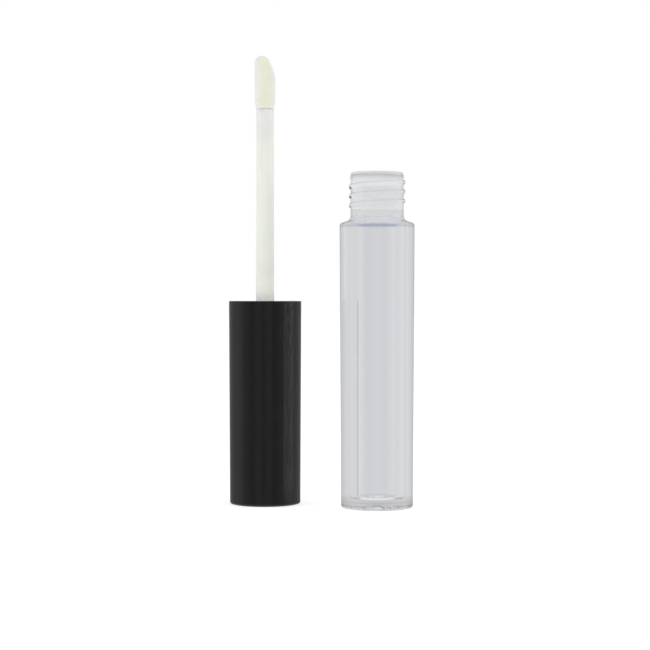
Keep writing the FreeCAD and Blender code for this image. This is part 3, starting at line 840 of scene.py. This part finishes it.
def make_flag():
    """A lit card between cap and bottle, so that the black cap doesn't stand as a stripe in the
    bottle's wall. Only rays out of the bottle see it: those that bounced inside, and those that
    crossed nothing but the wall. All others pass through the card."""
    half_width, height = 0.012, 0.13
    bottle, cap = Vector(BOTTLE_AXIS) * MM, Vector(CAP_AXIS) * MM
    middle = (bottle + cap) / 2
    along = (bottle - cap).normalized().orthogonal() * half_width
    low, high = middle - along, middle + along
    places = [(*low, 0), (*high, 0), (*high, height), (*low, height)]
    card = mesh_object("flag", places, [(0, 1, 2, 3)])
    finish = Finish("flag")
    path = finish.add("ShaderNodeLightPath")
    within = finish.number("GREATER_THAN", path.outputs["Transmission Depth"], 0.5)
    bounced = finish.number("GREATER_THAN", path.outputs["Glossy Depth"], 0.5)
    wall_only = finish.number("LESS_THAN", path.outputs["Transmission Depth"], 2.5)
    seen = finish.number("MULTIPLY", within, finish.number("MAXIMUM", bounced, wall_only))
    matt = finish.number("GREATER_THAN", path.outputs["Diffuse Depth"], 0.5)
    strength = finish.number("ADD", 1.0, finish.number("MULTIPLY", matt, FLAG_FILL))
    glow = finish.add("ShaderNodeEmission")
    finish.feed(glow.inputs["Color"], (FLAG_GLOW,) * 3)
    finish.feed(glow.inputs["Strength"], strength)
    shader = finish.add("ShaderNodeMixShader")
    finish.feed(shader.inputs[0], seen)
    finish.feed(shader.inputs[1], finish.add("ShaderNodeBsdfTransparent").outputs[0])
    finish.feed(shader.inputs[2], glow.outputs[0])
    finish.feed(finish.nodes["Material Output"].inputs["Surface"], shader.outputs[0])
    finish.material.cycles.emission_sampling = "NONE"
    stage(card, finish.material, "camera", "diffuse", "glossy", "shadow")


# The studio's brightness by compass angle, in degrees from the front (-Y) and positive to the right
# (+X). GLOSS is what polished faces mirror: a dim front with soft strips, then side panels. CLEAR
# is what is seen through the bottle. Higher up both give way to a dim band and then a panel
# overhead, and lower down to a pale band and then the table.
GLOSS = (
    (-180, 0.30), (-150, 0.26), (-120, 0.30), (-98, 0.42), (-84, 0.44), (-72, 0.30), (-56, 0.25),
    (-40, 0.18), (-20, 0.28), (-4, 0.19), (14, 0.28), (31, 0.17), (56, 0.27), (72, 0.33),
    (84, 0.44), (98, 0.42), (120, 0.30), (150, 0.26), (180, 0.30),
)
CLEAR = (
    (-180, 0.67), (-150, 0.73), (-110, 0.69), (-84, 0.60), (-50, 0.42), (0, 0.75),
    (50, 0.42), (84, 0.60), (110, 0.69), (150, 0.73), (180, 0.67),
)
CLEAR_COOLNESS = 0.01
DIM, SKY_PANEL = (0.30, 0.33, 0.40), (0.85, 0.86, 0.88)
LOW, TABLE = (0.72, 0.72, 0.74), (0.66, 0.66, 0.68)
WHITE = (1, 1, 1)

# How brightly the cards and the floor glow, and the even fill that rays off matt faces see: more of
# it from behind and through the glass, and the share that the flag adds to its own glow.
FLAG_GLOW, TABLE_GLOW, FLOOR_GLOW = 0.68, 0.85, 0.62
FILL, FILL_FROM_BEHIND, FILL_IN_GLASS, FLAG_FILL = 0.88, 0.12, 0.55, 1.2

# Light is mirrored many times over inside the bottle's wall before it comes out.
BOUNCES, MATT_BOUNCES = 160, 8


def panels(studio, share, stops, cool=0.0):
    """Brightness round the compass, by the share of a turn from the back, and cooler if asked."""
    tones = [
        (angle / 360 + 0.5, (grey - cool * 0.25, grey - cool * 0.1, grey + cool))
        for angle, grey in stops
    ]
    return studio.ramp(share, *tones, interpolation="EASE")


def make_world():
    """White behind the object, soft even fill for matt faces, and the studio for shiny ones."""
    world = bpy.data.worlds.new("studio")
    bpy.context.scene.world = world
    world.cycles.sampling_method = "NONE"
    studio = Nodes(world)
    studio.nodes.clear()
    east, north, up = studio.parts(studio.add("ShaderNodeTexCoord").outputs["Generated"])
    compass = studio.number("ARCTAN2", east, studio.number("MULTIPLY", north, -1.0))
    share = studio.number("ADD", studio.number("DIVIDE", compass, math.tau), 0.5)
    path = studio.add("ShaderNodeLightPath")
    inside = studio.number("GREATER_THAN", path.outputs["Transmission Depth"], 0.5)
    gloss, clear = panels(studio, share, GLOSS), panels(studio, share, CLEAR, CLEAR_COOLNESS)
    around = studio.mixed(inside, gloss, clear)
    down = studio.number("MULTIPLY", up, -1.0)
    around = studio.mixed(studio.between(up, 0.4, 0.55), around, DIM)
    around = studio.mixed(studio.between(down, 0.25, 0.5), around, LOW)
    around = studio.mixed(studio.between(up, 0.72, 0.92), around, SKY_PANEL)
    around = studio.mixed(studio.between(down, 0.6, 0.85), around, TABLE)
    fill = studio.number("ADD", studio.number("MULTIPLY", north, FILL_FROM_BEHIND), FILL)
    fill = studio.number("ADD", fill, studio.number("MULTIPLY", inside, FILL_IN_GLASS))
    matt = studio.number("GREATER_THAN", path.outputs["Diffuse Depth"], 0.5)
    around = studio.mixed(matt, around, fill)
    around = studio.mixed(path.outputs["Is Camera Ray"], around, WHITE)
    background = studio.add("ShaderNodeBackground")
    studio.feed(background.inputs["Color"], around)
    studio.feed(studio.add("ShaderNodeOutputWorld").inputs["Surface"], background.outputs[0])


LIT_POINT = (0, 0, 0.055)
SOFTBOXES = (
    # name, place, width and height, watts
    ("softbox_left", (-0.6, -0.3, 0.3), (0.5, 0.6), 1.0),
    ("softbox_right", (0.6, -0.3, 0.3), (0.5, 0.6), 1.0),
    ("softbox_top", (0.0, 0.1, 0.8), (0.8, 0.6), 0.8),
)


def make_light(name, place, size, watts):
    """A large softbox that faces the object, and that neither gloss nor glass shows."""
    lamp = bpy.data.lights.new(name, "AREA")
    lamp.shape = "RECTANGLE"
    lamp.size, lamp.size_y = size
    lamp.energy = watts
    light = bpy.data.objects.new(name, lamp)
    light.location = place
    aim = Vector(LIT_POINT) - Vector(place)
    light.rotation_euler = aim.to_track_quat("-Z", "Y").to_euler()
    light.visible_glossy = light.visible_transmission = False
    bpy.context.scene.collection.objects.link(light)


SENSOR_WIDTH, FOCAL_LENGTH = 36.0, 99.69
CAMERA_PLACE, CAMERA_DOWN = (0.00097, -0.4244, 0.0482), 0.764


def make_camera():
    """The photograph's viewpoint: square on, just below the middle, looking a little down."""
    lens = bpy.data.cameras.new("camera")
    lens.sensor_width = SENSOR_WIDTH
    lens.lens = FOCAL_LENGTH
    lens.clip_start = 0.01
    camera = bpy.data.objects.new("camera", lens)
    camera.location = CAMERA_PLACE
    camera.rotation_euler = (math.radians(90 - CAMERA_DOWN), 0, 0)
    bpy.context.scene.collection.objects.link(camera)
    bpy.context.scene.camera = camera


make_bottle()
make_wiper()
make_outer_cap()
make_inner_cap()
make_cap_gasket()
make_wand_stem()
make_applicator_core()
make_adhesive_bead()
make_flock_tip()
make_floor()
make_table_card()
make_flag()
make_world()
for softbox in SOFTBOXES:
    make_light(*softbox)
make_camera()
bpy.context.scene.view_settings.view_transform = "Standard"
limits = bpy.context.scene.cycles
limits.max_bounces = limits.glossy_bounces = limits.transmission_bounces = BOUNCES
limits.diffuse_bounces = MATT_BOUNCES
